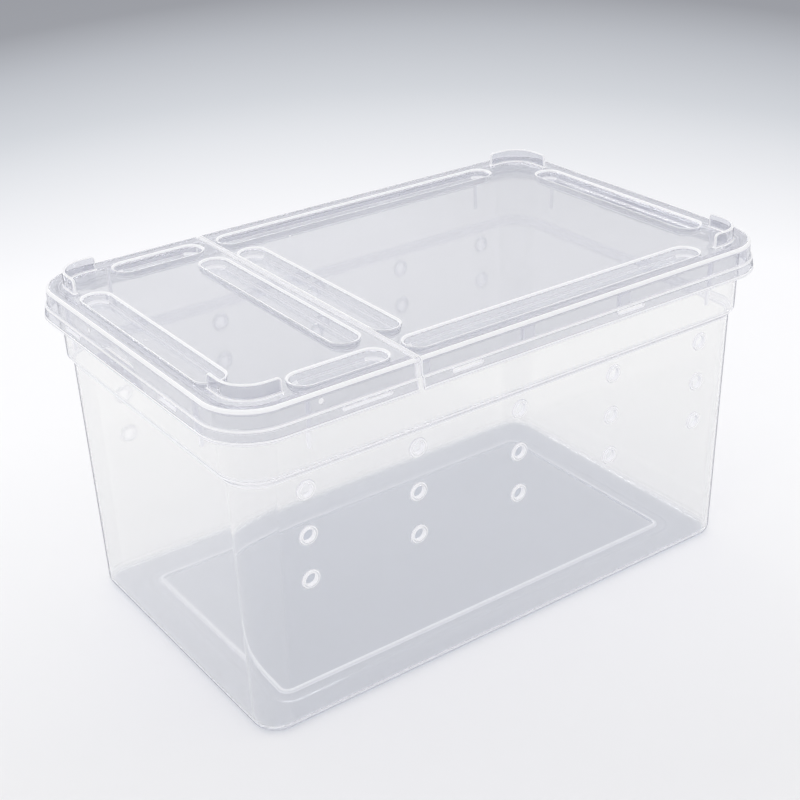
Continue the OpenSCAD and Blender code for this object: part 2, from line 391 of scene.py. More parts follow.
    def reopen(self, normal: Vector, near: Vector) -> None:
        """Take out the broad flat face at a place and fill it again round what stands on it.

        Args:
            normal: The face's outward unit normal.
            near: A point close to the face's middle.
        """
        self.bm.normal_update()
        alike = [f for f in self.bm.faces if f.normal.cross(normal).length < PARALLEL]
        level = [f for f in alike if abs((f.calc_center_median() - near).dot(normal)) < BESIDE]
        face = max(level, key=BMFace.calc_area)
        point = face.calc_center_median()
        bmesh.ops.delete(self.bm, geom=[face], context="FACES_ONLY")
        self.fill(point, normal)

    def finish(self, name: str) -> None:
        """Close the modelling and make the object, in metres, at the origin.

        Args:
            name: The object's name.
        """
        self.weld()
        bmesh.ops.recalc_face_normals(self.bm, faces=self.bm.faces[:])
        open_count = sum(1 for e in self.bm.edges if len(e.link_faces) != 2)
        volume = self.bm.calc_volume(signed=True)
        if volume < 0:
            bmesh.ops.reverse_faces(self.bm, faces=self.bm.faces[:])
        LOG.info("%s: %d faces, %d open edges, %.0f mm3", name, len(self.bm.faces), open_count, abs(volume))
        bmesh.ops.transform(self.bm, matrix=Matrix.Scale(MM, 4), verts=self.bm.verts[:])
        mesh = bpy.data.meshes.new(name)
        self.bm.to_mesh(mesh)
        self.bm.free()
        mesh.shade_smooth()
        mesh.set_sharp_from_angle(angle=SHARP)
        self.thing = put_in_scene(name, mesh)

    def cut_away(self, tool: "Form") -> None:
        """Cut another finished form out of this one and remove it.

        Args:
            tool: The cutter.
        """
        cut = self.thing.modifiers.new("cut", "BOOLEAN")
        cut.operation = "DIFFERENCE"
        cut.solver = "EXACT"
        cut.object = tool.thing
        bpy.context.view_layer.update()
        graph = bpy.context.evaluated_depsgraph_get()
        mesh = bpy.data.meshes.new_from_object(self.thing.evaluated_get(graph))
        self.thing.modifiers.remove(cut)
        old, self.thing.data = self.thing.data, mesh
        mesh.name = self.thing.name
        mesh.set_sharp_from_angle(angle=SHARP)
        bpy.data.meshes.remove(old)
        bpy.data.objects.remove(tool.thing)

    def mark_ridges(self) -> None:
        """Write on each face how tightly the surface turns there, for the finish to paint a white highlight
        on ridges.

        Faces that have edge light of their own keep at least that.
        """
        shape = bmesh.new()
        shape.from_mesh(self.thing.data)
        layer = face_layer(shape, EDGE_LIGHT)
        for face in shape.faces:
            area = max(face.calc_area() / MM, 1e-9)
            bends = [(e.calc_face_angle(0.0) * e.calc_length() / area, e.is_convex) for e in face.edges]
            if len(bends) == 3 and min(bends)[0] < STRAIGHT:
                continue
            outer = max((bend for bend, convex in bends if convex), default=0.0)
            hollows = sorted((bend for bend, convex in bends if not convex), reverse=True)
            round_bend = min(hollows[2] / ROUND_BEND, 1.0) if len(hollows) > 2 else 0.0
            straight, bent = HOLLOW_LIGHT
            inner = hollows[0] * (straight + (bent - straight) * round_bend) if hollows else 0.0
            tight = max(outer, inner)
            lit = max(rise_between(tight, EDGE_BEND), CORNER_LIGHT * rise_between(tight, CORNER_BEND))
            face[layer] = max(face[layer], lit * (UNDER_LIGHT if face.normal.z < FACES_DOWN else 1.0))
        shape.to_mesh(self.thing.data)
        shape.free()

    def dress(self, body: str, node: str, slot: str, resin: Material) -> None:
        """Give the finished piece its material, its body and the CAD node it stands for.

        Args:
            body: The CAD body it moves with.
            node: The CAD node it replaces.
            slot: Not used.
            resin: Its material.
        """
        self.thing.data.materials.append(resin)
        self.mark_ridges()
        # The broad flat faces set the shading where they meet a rounding
        weighted = self.thing.modifiers.new("flat_faces_lead", "WEIGHTED_NORMAL")
        weighted.mode = "FACE_AREA"
        weighted.weight = 50
        weighted.keep_sharp = True
        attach(self.thing, body)
        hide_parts(node)
        LOG.info("%s rides on %s", self.thing.name, body)


def facing(out: Vector, at: Vector, along: Vector) -> Matrix:
    """Give the placement of a form that stands on a wall.

    Args:
        out: The wall's outward unit normal, which becomes the form's up.
        at: The point of the wall where the form's zero goes.
        along: Unit vector in the wall that becomes the form's X.

    Returns:
        The placement.
    """
    side = out.cross(along)
    return Matrix.Translation(at) @ Matrix((along, side, out)).transposed().to_4x4()


def reach(point: Vector) -> float:
    """Measure how far out of the rectangle between the four corner axes a point lies, seen from above."""
    return math.hypot(max(abs(point.x) - AXIS_X, 0.0), max(abs(point.y) - AXIS_Y, 0.0))


def pip(radius: float, rise: float) -> Form:
    """Model a small round gate or ejector mark as a low dome.

    Args:
        radius: Radius of the dome's foot.
        rise: How far it stands out.

    Returns:
        The form, with its open foot at zero.
    """
    form = Form()
    shoulder = Corner(radius * 0.85, rise * 0.75, radius * 0.2, 2)
    form.draw([Corner(radius, 0.0), shoulder, Corner(0.0, rise)], NOWHERE, ALONG_X)
    form.turn_whole(12)
    # Painted highlight: the whole mark is painted milky white
    form.light_up(1.0)
    return form


@dataclass(frozen=True)
class ClearPolypropylene:
    """Clear natural polypropylene, injection moulded against a polished steel face.

    It lets nearly all light through with a faint blue-violet cast, shines softly,
    and scatters a little light, so that layers of it look milky. Its ridges and
    roundings are painted milky white, a painted highlight that stands in for light
    that runs along inside the sheet and comes out there.
    """

    name: str
    tint: str
    shadow_tint: str
    base_shade_tint: str = "#d5d9e2"
    # grey painted on outlines and edge-on views, a painted shade
    outline: str = "#9a9daa"
    # white of the sheet's haze and of the painted highlight on its ridges
    milk_and_highlight: str = "#fefefe"
    milk_through: float = 0.25
    haze: float = 0.04
    edge_highlight: float = 1.0
    ior: float = 1.49
    roughness: float = 0.05
    roughness_spread: float = 0.4
    grey_from: Pair = (0.72, 0.95)
    lost_from: Pair = (0.68, 0.9)
    outline_share: float = 0.8
    caught_after: float = 1.5
    wave_mm: float = 22.0
    wave_depth: float = 0.02
    flow_mm: float = 40.0

    def make(self) -> Material:
        """Build the material's nodes.

        Returns:
            The material.
        """
        material = bpy.data.materials.new(self.name)
        tree = clear_tree(material)
        where = add_node(tree, "TexCoord").outputs["Object"]
        # Slow waves of the cooling sheet, which bend its reflections a little
        fine = 1 / (self.wave_mm * MM)
        waves = add_node(tree, "TexNoise", Vector=where, Scale=fine, Detail=1.5, Roughness=0.4)
        bump = add_node(tree, "Bump", Strength=self.wave_depth, Distance=MM, Height=waves)
        # Faint flow marks change how sharply it shines
        fine = 1 / (self.flow_mm * MM)
        flow = add_node(tree, "TexNoise", Vector=where, Scale=fine, Detail=3.0, Distortion=0.8)
        low, high = (self.roughness * (1 + sign * self.roughness_spread) for sign in (-1, 1))
        rough = add_node(tree, "MapRange", Value=flow, To_Min=low, To_Max=high)
        # Seen almost edge-on, the sheet's colour turns grey: painted shade that stands in for its greater
        # thickness there
        facing_away = add_node(tree, "LayerWeight", Blend=0.5).outputs["Facing"]
        low, high = self.grey_from
        edge_on = add_node(tree, "MapRange", Value=facing_away, From_Min=low, From_Max=high)
        tone = add_node(tree, "MixRGB", Fac=edge_on, Color1=linear(self.tint), Color2=linear(self.outline))
        look = {"Base_Color": tone, "Roughness": rough, "IOR": self.ior, "Normal": bump}
        resin = add_node(tree, "BsdfPrincipled", Transmission_Weight=1.0, **look)
        # Painted shade: the outline of a round corner gets a thin grey film, standing in for light that runs
        # along the sheet and is lost
        ridge = add_node(tree, "Attribute", {"attribute_name": EDGE_LIGHT}).outputs["Fac"]
        bent = add_node(tree, "MapRange", Value=ridge, From_Max=CORNER_LIGHT, To_Max=self.outline_share)
        low, high = self.lost_from
        lost = add_node(tree, "MapRange", Value=facing_away, From_Min=low, From_Max=high, To_Max=bent)
        outline_shade = add_node(tree, "BsdfTransparent", Color=linear(self.outline))
        sheet = add_node(tree, "MixShader", Fac=lost, i1=resin, i2=outline_shade)
        front = add_node(tree, "BsdfDiffuse", Color=linear(self.milk_and_highlight), Roughness=0.0)
        through = add_node(tree, "BsdfTranslucent", Color=linear(self.milk_and_highlight))
        milk_and_highlight = add_node(tree, "MixShader", Fac=self.milk_through, i1=front, i2=through)
        # Painted highlight: ridges and roundings turn milky white, standing in for light that runs in the
        # sheet and comes out there
        haze = add_node(tree, "MapRange", Value=ridge, To_Min=self.haze, To_Max=self.edge_highlight)
        # Painted light: after a ray has turned from face to face inside the sheet more than once, the
        # surface turns milky white instead of staying clear
        path = add_node(tree, "LightPath").outputs
        turned = path["Glossy Depth"]
        caught = add_node(tree, "Math", {"operation": "GREATER_THAN"}, i0=turned, i1=self.caught_after)
        share = add_node(tree, "Math", {"operation": "MAXIMUM"}, i0=haze, i1=caught)
        cloudy = add_node(tree, "MixShader", Fac=share, i1=sheet, i2=milk_and_highlight)
        # Lamps shine through the wall, dimmed by its tint, and so does light from matt surfaces
        # Painted shade: the base plate dims that light much more, so the table under the box looks darker
        base_shaded = add_node(tree, "Attribute", {"attribute_name": BASE_SHADE}).outputs["Fac"]
        tints = {"Color1": linear(self.shadow_tint), "Color2": linear(self.base_shade_tint)}
        dim = add_node(tree, "MixRGB", Fac=base_shaded, **tints)
        clear = add_node(tree, "BsdfTransparent", Color=dim)
        spread = add_node(tree, "MixShader", Fac=path["Is Diffuse Ray"], i1=cloudy, i2=clear)
        surface = add_node(tree, "MixShader", Fac=path["Is Shadow Ray"], i1=spread, i2=clear)
        add_node(tree, "OutputMaterial", Surface=surface)
        return material


TUB_RESIN = ClearPolypropylene("clear_polypropylene_tub", tint="#fcfcfb", shadow_tint="#fafafc")
LID_RESIN = ClearPolypropylene("clear_polypropylene_lid", tint="#e2e3e8", shadow_tint="#f8f8fa")


@dataclass(frozen=True)
class Upright:
    """One kind of upright block on the collar: a slender rib or a broad gusset."""

    width: float
    height: float
    out: float
    z: float
    soft: float
    light: float

    def model(self) -> Form:
        """Model the block.

        Returns:
            The form, with soft edges and its open back at zero.
        """
        form = Form()
        place = Matrix.LocRotScale((0, 0, self.out / 2), None, (self.width, self.height, self.out))
        bmesh.ops.create_cube(form.bm, size=1.0, matrix=place)
        back = [f for f in form.bm.faces if f.calc_center_median().z < TINY]
        bmesh.ops.delete(form.bm, geom=back, context="FACES_ONLY")
        form.soften(Softened.EDGES, [e for e in form.bm.edges if len(e.link_faces) == 2], self.soft, 3)
        form.light_up(self.light)
        return form


RIB = Upright(width=1.6, height=23.6, out=1.8, z=160.4, soft=0.45, light=0.9)
GUSSET = Upright(width=7.0, height=7.4, out=2.2, z=168.4, soft=0.5, light=0.45)


@dataclass
class Tub(Form):
    """The tub: floor with a raised panel, leaning walls with vents, a step, a collar and its rim flange."""

    # How far out of the corner axes each level reaches
    foot: float = 13.5
    step: float = 16.0
    collar: float = 18.7
    rim: float = 19.3
    flange: float = 22.5
    # Heights
    step_foot: float = 135.2
    step_top: float = 138.4
    flange_z: float = 172.5
    rim_z: float = 174.2
    # The sheet and its roundings
    wall: float = 1.6
    flat_from: float = 3.0
    foot_round: float = 4.92
    floor_round: float = 3.35
    bend_round: float = 0.7
    rim_round: float = 0.5
    # Floor panel, with the low border round it
    panel_half: Pair = (125.5, 65.0)
    panel_corner: float = 5.0
    panel_border: float = 6.5
    border_rise: float = 0.15
    panel_rise: float = 1.2
    # Vents, ribs and gussets
    vent_columns: tuple[float, ...] = (-121.0, -60.5, 0.0, 60.5, 121.0)
    vent_rows: tuple[float, ...] = (126.6, 103.3, 80.0)
    vent_bore: float = 3.0
    vent_ring: float = 4.7
    vent_rise: float = 0.8
    vent_apron: float = 0.5
    rib_at: Pair = (120.0, 64.0)
    gusset_at: tuple[float, ...] = (-60.5, 0.0, 60.5)
    # Edge light of ring and bore, of the step's ramp and its two bends, and of the foot's rounding
    vent_light: Pair = (0.2, 1.0)
    step_light: float = 0.45
    step_edge_light: float = 0.95
    bend_reach: Pair = (1.0, 1.8)
    step_reach: float = 4.0
    ramp_close: float = 0.03
    foot_light: float = 0.3
    foot_level: float = 0.5
    foot_glow_top: float = 2.3
    foot_glow_from: float = 11.3
    # Painted shade of the base plate: full on the panel, less on its margin, none up the foot's rounding
    base_top: float = 3.0
    plate_level: float = 0.9
    panel_close: float = 0.05
    margin_shade: float = 0.9
    shade_span: Pair = (0.2, 0.9)
    foot_top: float = 5.0

    def section(self) -> list[Corner]:
        """Give the section of floor margin, wall, step, collar and flange.

        Returns:
            The section's corners, from inside to outside.
        """
        t, bend, rim = self.wall, self.bend_round, self.rim_round
        return [
            Corner(self.flat_from, t),
            Corner(self.foot - t + 0.03, t, self.floor_round, 7),
            Corner(self.step - t, self.step_foot + 0.5 * t, bend),
            Corner(self.collar - t, self.step_top + 0.5 * t, bend),
            Corner(self.rim - t, self.rim_z, rim),
            Corner(self.flange, self.rim_z, rim),
            Corner(self.flange, self.flange_z, rim),
            Corner(self.rim - 0.03, self.flange_z, bend),
            Corner(self.collar, self.step_top, bend),
            Corner(self.step, self.step_foot, bend),
            Corner(self.foot, 0.0, self.foot_round, 9),
            Corner(self.flat_from, 0.0),
        ]

    def panel(self) -> None:
        """Fill the open floor with its raised panel and the hollow under it."""
        r = self.panel_corner
        ax, ay = self.panel_half[0] - r, self.panel_half[1] - r
        t, top = self.wall, self.wall + self.panel_rise
        border = t + self.border_rise
        above = [
            Corner(r + 0.6, border),
            Corner(r, border, 0.3),
            Corner(r - 0.15, top, 0.95, 5),
            Corner(r - 1.6, top),
        ]
        out = r + self.panel_border
        rim = [
            Corner(out + 1.6, t),
            Corner(out + 0.8, t, 0.6, 2),
            Corner(out - 0.8, border, 0.6, 2),
            Corner(out - 1.6, border),
        ]
        below = [
            Corner(r - t + 1.0, 0.0),
            Corner(r - t, 0.0, 0.45),
            Corner(r - t - 0.1, top - t, 0.45),
            Corner(r - t - 1.2, top - t),
        ]
        for corners in (above, rim, below):
            edge = Form()
            edge.draw(corners, Vector((ax, ay, 0)), ALONG_X)
            edge.carry_round(ax, ay, CORNER_STEPS)
            edge.light_up(1.0 if corners is above else 0.0)
            self.take(edge, Matrix.Identity(4))
        self.fill_levels(0.0, t, border, top - t, top)

    def vent(self) -> Form:
        """Model one vent: a soft round collar with its bore through the wall.

        Returns:
            The form, with the wall's outer face at zero and both its rims open.
        """
        form = Form()
        ring, bore, rise, t = self.vent_ring, self.vent_bore, self.vent_rise, self.wall
        section = [
            Corner(ring + self.vent_apron, 0.0),
            Corner(ring, 0.0, 0.25, 2),
            Corner(ring - 0.1, rise, 0.4),
            Corner(bore, rise, 0.4),
            Corner(bore, -t, 0.3),
            Corner(bore + self.vent_apron, -t),
        ]
        form.draw(section, NOWHERE, ALONG_X)
        form.turn_whole(28)
        ring_light, bore_light = self.vent_light
        form.light_up(ring_light)
        light = face_layer(form.bm, EDGE_LIGHT)
        for face in form.bm.faces:
            if face.calc_center_median().xy.length < bore + 0.05:
                face[light] = bore_light
        return form

    def build(self) -> None:
        """Model the whole tub."""
        self.draw(self.section(), CORNER_AXIS, ALONG_X)
        self.carry_round(AXIS_X, AXIS_Y, CORNER_STEPS)
        self.panel()
        lean = (self.step - self.foot) / self.step_foot
        mid_wall = self.step_foot / 2
        for side in (-1, 1):
            out = Vector((0, side, -lean)).normalized()
            for z in self.vent_rows:
                for x in self.vent_columns:
                    at = Vector((x, side * (AXIS_Y + self.foot + lean * z), z))
                    self.take(self.vent(), facing(out, at, ALONG_X))
            middle = Vector((0, side * (AXIS_Y + self.foot + lean * mid_wall), mid_wall))
            self.reopen(out, middle)
            self.reopen(out, middle - out * self.wall)
            self.uprights(side)
        self.mark_base_and_step()
        self.finish("tub_shell")

    def mark_base_and_step(self) -> None:
        """Paint shade on the base plate, so that the table under it looks darker, and light up the foot and
        the step with painted highlight.
        """
        shade, light = face_layer(self.bm, BASE_SHADE), face_layer(self.bm, EDGE_LIGHT)
        ramp = math.cos(math.atan2(self.step_top - self.step_foot, self.collar - self.step))
        panel_levels = (self.panel_rise, self.wall + self.panel_rise)
        step_from, step_to = self.step_foot - self.bend_reach[0], self.step_top + self.bend_reach[1]
        self.bm.normal_update()
        for face in self.bm.faces:
            centre = face.calc_center_median()
            z, level = centre.z, abs(face.normal.z)
            if z < self.base_top and level > self.plate_level:
                on_panel = min(abs(z - height) for height in panel_levels) < self.panel_close
                face[shade] = 1.0 if on_panel else self.margin_shade
            elif z < self.foot_top:
                face[shade] = self.margin_shade * rise_between(level, self.shade_span)
                glows = z < self.foot_glow_top and reach(centre) > self.foot_glow_from
                if glows and level > self.foot_level:
                    face[light] = self.foot_light
            elif step_from < z < step_to:
                on_ramp = abs(level - ramp) < self.ramp_close
                if max(v.co.z for v in face.verts) < self.step_top + self.step_reach:
                    face[light] = self.step_light if on_ramp else self.step_edge_light

    def uprights(self, side: int) -> None:
        """Stand the slender ribs and broad gussets on the collar of one long side and one end.

        Args:
            side: -1 or 1, for the front and left or the back and right.
        """
        lean = (self.rim - self.collar) / (self.rim_z - self.step_top)
        base = self.collar - lean * self.step_top
        mid_z = (self.step_top + self.rim_z) / 2
        rib_x, rib_y = self.rib_at
        on_side = [(x, RIB) for x in (-rib_x, rib_x)] + [(x, GUSSET) for x in self.gusset_at]
        on_end = [(y, RIB) for y in (-rib_y, rib_y)]
        for along, across, axis, kinds in (
            (ALONG_X, ALONG_Y, AXIS_Y, on_side),
            (ALONG_Y, ALONG_X, AXIS_X, on_end),
        ):
            out = (side * across - lean * UP).normalized()
            for place, kind in kinds:
                at = along * place + across * (side * (axis + base + lean * kind.z)) + UP * kind.z
                self.take(kind.model(), facing(out, at, along))
            self.reopen(out, across * (side * (axis + base + lean * mid_z)) + UP * mid_z)


class FlapSide(Enum):
    """Which flap of the lid: the small one lies on the -X side of the fold."""

    SMALL = -1
    LARGE = 1


# From the fold to the channel beside it and to the ends of the two side channels, by flap
CHANNEL_GAPS = {FlapSide.SMALL: (5.5, 7.0), FlapSide.LARGE: (3.4, 5.0)}
# Ejector pin marks on the channels' floors, by flap, and one on the large flap's plate
PIN_MARKS = {
    FlapSide.SMALL: ((-73.4, -30.1), (-144.2, 5.3)),
    FlapSide.LARGE: ((-54.0, 5.9), (144.2, 4.6), (144.2, -44.3)),
}
PLATE_MARK = Vector((-27.2, 66.3, LID_TOP))
PIN_MARK = (0.7, 0.35)  # radius and rise
# Slots in the lip: distance from the fold, length and height, by flap, and those of the ends
SIDE_SLOTS = {
    FlapSide.SMALL: ((28.5, 26.0, 1.4),),
    FlapSide.LARGE: ((25.8, 17.0, 2.0), (125.6, 17.0, 2.0)),
}
END_SLOT_AT, END_SLOT = 48.0, (16.0, 2.0)
# Gate marks on the small flap's band: place along it, radius and rise
END_GATE = (31.5, 1.1, 0.12)
FRONT_GATE = (-115.8, 1.3, 0.12)
GATE_Z = 171.6


@dataclass(frozen=True)
class Channel:
    """Place of one stiffening channel in the lid's plate."""

    x: float
    y: float
    length: float
    crosswise: bool


@dataclass
class Flap(Form):
    """One flap of the lid: plate, skirt with its lip, stiffening channels, stacking tabs and slots."""

    side: FlapSide
    # How far out of the corner axes the skirt reaches, and its heights
    band: float = 24.5
    skin: float = 23.0
    lip: float = 26.0
    lip_end: float = 26.5
    under_z: float = 174.4
    band_z: float = 167.5
    lip_z: float = 160.5
    edge: float = 1.45
    band_lean: float = 0.15
    # The cut along the fold, with the steps that round its edges
    half_slit: float = 1.5
    cut_soft: float = 0.4
    cut_steps: tuple[Pair, ...] = ((0.06, 0.2), (0.13, 0.13), (0.24, 0.07))
    # Stiffening channels
    chan_out: float = 15.6
    chan_half: float = 6.9
    chan_depth: float = 5.0
    chan_wall: float = 1.3
    chan_lean: float = 0.7
    chan_side_end: float = 120.5
    chan_end_inset: float = 13.0
    chan_fold_inset: float = 9.5
    # Stacking tabs
    tab_height: float = 7.5
    tab_wall: float = 1.6
    tab_radius: float = 14.8
    tab_runs: Pair = (7.0, 9.0)
    tab_round: float = 2.2
    tab_soft: float = 0.6
    tab_fillet: float = 0.6
    tab_cuts: int = 14
    # Lip slots and thumb recess
    cutter_span: Pair = (-4.0, 2.0)
    slot_mouth: float = 0.25
    thumb_radius: float = 25.0
    thumb_cut: float = 20.4
    thumb_z: float = 168.4
    thumb_steps: tuple[Pair, ...] = ((0.25, -0.12), (0.35, -0.38), (0.25, -0.08))
    channels: list[Channel] = field(default_factory=list)

    def __post_init__(self) -> None:
        """Lay out the flap's four channels."""
        middle = self.chan_out - self.chan_half
        end_x, side_y = AXIS_X + middle, AXIS_Y + middle
        sign = self.side.value
        fold_gap, side_gap = CHANNEL_GAPS[self.side]
        near, far = FOLD_X + sign * side_gap, sign * self.chan_side_end
        at_fold = FOLD_X + sign * (fold_gap + self.chan_half)
        self.channels = [
            Channel(sign * end_x, 0.0, 2 * (AXIS_Y - self.chan_end_inset), True),
            Channel(at_fold, 0.0, 2 * (AXIS_Y - self.chan_fold_inset), True),
            Channel((near + far) / 2, side_y, abs(far - near), False),
            Channel((near + far) / 2, -side_y, abs(far - near), False),
        ]

    def skirt(self) -> list[Corner]:
        """Give the section of the plate's edge and skirt.

        Returns:
            The section's corners, from the top face round to the underside.
        """
        return [
            Corner(self.band - self.edge - 0.5, LID_TOP),
            Corner(self.band, LID_TOP, self.edge, 6),
            Corner(self.band + self.band_lean, self.band_z, 0.35),
            Corner(self.lip, self.band_z - 0.5, 0.55),
            Corner(self.lip + 0.36, self.lip_z + 2.0, 0.2, 2),
            Corner(self.lip_end + 0.36, self.lip_z + 1.55, 0.35),
            Corner(self.lip_end + 0.38, self.lip_z, 0.75, 5),
            Corner(self.lip_end - 1.5, self.lip_z, 0.5),
            Corner(self.lip - 1.5, self.band_z - 1.8, 0.5),
            Corner(self.skin + 0.15, self.band_z - 1.2, 0.4),
            Corner(self.skin, self.under_z, 0.7),
            Corner(self.band - self.edge - 0.9, self.under_z),
        ]

    def close_cut(self, x: float) -> None:
        """Join the flap's two skirt ends along the fold and round the cut's edges.

        Args:
            x: Where the flap is cut off.
        """
        ends = [v for v in self.bm.verts if abs(v.co.x - x) < FLAT]
        for z in (LID_TOP, self.under_z):
            level = [v for v in ends if abs(v.co.z - z) < 1e-3]
            pair = [min((v for v in level if v.co.y * s > 0), key=lambda v: abs(v.co.y)) for s in (-1, 1)]
            self.bm.edges.new(pair)
        face = self.cap(x * ALONG_X, ALONG_X)
        face.normal_update()
        if face.normal.x * self.side.value > 0:
            face.normal_flip()
        self.step_in(face, self.cut_steps)

    def channel(self, length: float) -> Form:
        """Model one channel: its hollow above, with its floor left open, and its wall below the plate.

        Args:
            length: Length of the channel over its round ends.

        Returns:
            The form, along X, with the plate's top at zero.
        """
        half, lean, deep, wall = self.chan_half, self.chan_lean, self.chan_depth, self.chan_wall
        plate = LID_TOP - self.under_z
        hollow = [
            Corner(half + 1.5, 0.0),
            Corner(half + 0.2, 0.0, 0.95, 5),
            Corner(half - lean, -deep, 1.3, 4),
            Corner(half - lean - 1.7, -deep),
        ]
        below = [
            Corner(half + wall + 0.8, -plate),
            Corner(half + wall - 0.15, -plate, 0.4),
            Corner(half + wall - lean, -deep - wall, 1.5, 4),
            Corner(half + wall - lean - 2.0, -deep - wall),
        ]
        whole = Form()
        for corners in (hollow, below):
            part = Form()
            part.draw(corners, Vector((length / 2 - half, 0, 0)), ALONG_X)
            part.carry_round(length / 2 - half, 0.0, 10)
            if corners is below:
                part.cap(Vector((0, 0, -deep - wall)), UP)
            whole.take(part, Matrix.Identity(4))
        return whole

    def tab(self) -> Form:
        """Model the stacking tab of the +X +Y corner, about its corner axis, from the plate's top up.

        Returns:
            The form, with its foot open at zero: a flat strip with round upper corners and soft
            edges, bent round the corner.
        """
        half, high, r = self.tab_wall / 2, self.tab_height, self.tab_radius
        run_x, run_y = self.tab_runs
        bend = QUARTER * r
        length = run_y + bend + run_x
        form = Form()
        shoulders = [Corner(x, high, self.tab_round, 8) for x in (0.0, length)]
        outline = [Corner(0.0, 0.0), *shoulders, Corner(length, 0.0)]
        form.draw(outline, -half * ALONG_Y, ALONG_X)
        form.bm.edges.new([v for v in form.bm.verts if v.co.z < TINY])
        face = bmesh.ops.contextual_create(form.bm, geom=form.bm.edges[:])["faces"][0]
        made = bmesh.ops.extrude_face_region(form.bm, geom=[face], use_keep_orig=True)["geom"]
        bmesh.ops.translate(form.bm, vec=(0, self.tab_wall, 0), verts=points_of(made))
        under = [f for f in form.bm.faces if all(v.co.z < TINY for v in f.verts)]
        bmesh.ops.delete(form.bm, geom=under, context="FACES_ONLY")
        bmesh.ops.recalc_face_normals(form.bm, faces=form.bm.faces[:])
        edges = [e for e in form.bm.edges if len(e.link_faces) == 2 and e.calc_face_angle() > 1.0]
        form.soften(Softened.EDGES, edges, self.tab_soft, 4)
        self.spread_foot(form, length)
        for k in range(self.tab_cuts + 1):
            form.slice((run_y + bend * k / self.tab_cuts) * ALONG_X, ALONG_X)
        for vert in form.bm.verts:
            along, out = vert.co.x, r + vert.co.y
            angle = min(max((along - run_y) / r, 0.0), QUARTER)
            before, after = min(along - run_y, 0.0), max(along - run_y - bend, 0.0)
            vert.co.x = out * math.cos(angle) - after
            vert.co.y = out * math.sin(angle) + before
        return form

    def spread_foot(self, form: Form, length: float) -> None:
        """Widen the foot of a straight tab into a small fillet, with a painted highlight.

        Args:
            form: The tab's form, before it is bent.
            length: Length of the strip.
        """
        fillet = self.tab_fillet
        rim = [e for e in form.bm.edges if len(e.link_faces) == 1]
        low = list(dict.fromkeys(v for e in rim for v in e.verts))
        bmesh.ops.translate(form.bm, vec=(0, 0, fillet), verts=low)
        made = bmesh.ops.extrude_edge_only(form.bm, edges=rim)["geom"]
        foot = points_of(made)
        middle = Matrix.Translation((-length / 2, 0, 0))
        growth = (1 + 2 * fillet / length, 1 + 2 * fillet / self.tab_wall, 1.0)
        bmesh.ops.scale(form.bm, vec=growth, space=middle, verts=foot)
        bmesh.ops.translate(form.bm, vec=(0, 0, -fillet), verts=foot)
        light = face_layer(form.bm, EDGE_LIGHT)
        for face in {f for v in foot for f in v.link_faces}:
            face[light] = 1.0

    def thumb_recess(self) -> Form:
        """Model the arched thumb recess of the end band.

        Returns:
            The form, sunk below its zero, with its chord along X.
        """
        form = Form()
        bmesh.ops.create_circle(form.bm, cap_ends=True, radius=self.thumb_radius, segments=96)
        form.slice(Vector((0, self.thumb_cut, 0)), ALONG_Y, clear_inner=True)
        bmesh.ops.translate(form.bm, vec=(0, -self.thumb_cut, 0), verts=form.bm.verts[:])
        face = form.bm.faces[:][0]
        if face.normal.z < 0:
            face.normal_flip()
        form.step_in(face, self.thumb_steps)
        return form

    def slot_tool(self, length: float, height: float) -> Form:
        """Model the cutter of one slot in the lip, along X, that cuts a chamfered mouth at its zero.

        Args:
            length: Length of the slot.
            height: Height of the slot.

        Returns:
            The cutter, which stands through the lip.
        """
        r, mouth = height / 2, self.slot_mouth
        deep, high = self.cutter_span
        form = Form()
        section = [Corner(r, deep), Corner(r, -mouth), Corner(r + mouth, 0.0), Corner(r + mouth, high)]
        form.draw(section, (length / 2 - r) * ALONG_X, ALONG_X)
        form.carry_round(length / 2 - r, 0.0, 8)
        for z in self.cutter_span:
            form.cap(UP * z, UP)
        return form

    def slots(self) -> Form:
        """Model the cutters of all the flap's lip slots.

        Returns:
            The cutters as one finished form.
        """
        tool = Form()
        z = self.band_z - 2.45
        out = self.lip + 0.22
        sign = self.side.value
        for face in (-1, 1):
            for from_fold, length, height in SIDE_SLOTS[self.side]:
                at = Vector((FOLD_X + sign * from_fold, face * (AXIS_Y + out), z))
                tool.take(self.slot_tool(length, height), facing(face * ALONG_Y, at, ALONG_X))
            at = Vector((sign * (AXIS_X + out), face * END_SLOT_AT, z))
            tool.take(self.slot_tool(*END_SLOT), facing(sign * ALONG_X, at, ALONG_Y))
        tool.finish("lip_slot_cutters")
        return tool

    def mark_gate(self, out: Vector, at: Vector, gate: tuple[float, float, float]) -> None:
        """Put a small round gate mark on the upright band, with its foot still unjoined.

        Args:
            out: Outward unit normal of one side of the band.
            at: The middle of that side at the mark's height.
            gate: Place along that side, radius and rise.
        """
        place, radius, rise = gate
        along = ALONG_Y if abs(out.x) > abs(out.y) else ALONG_X
        self.take(pip(radius, rise), facing(out, at + place * along, along))

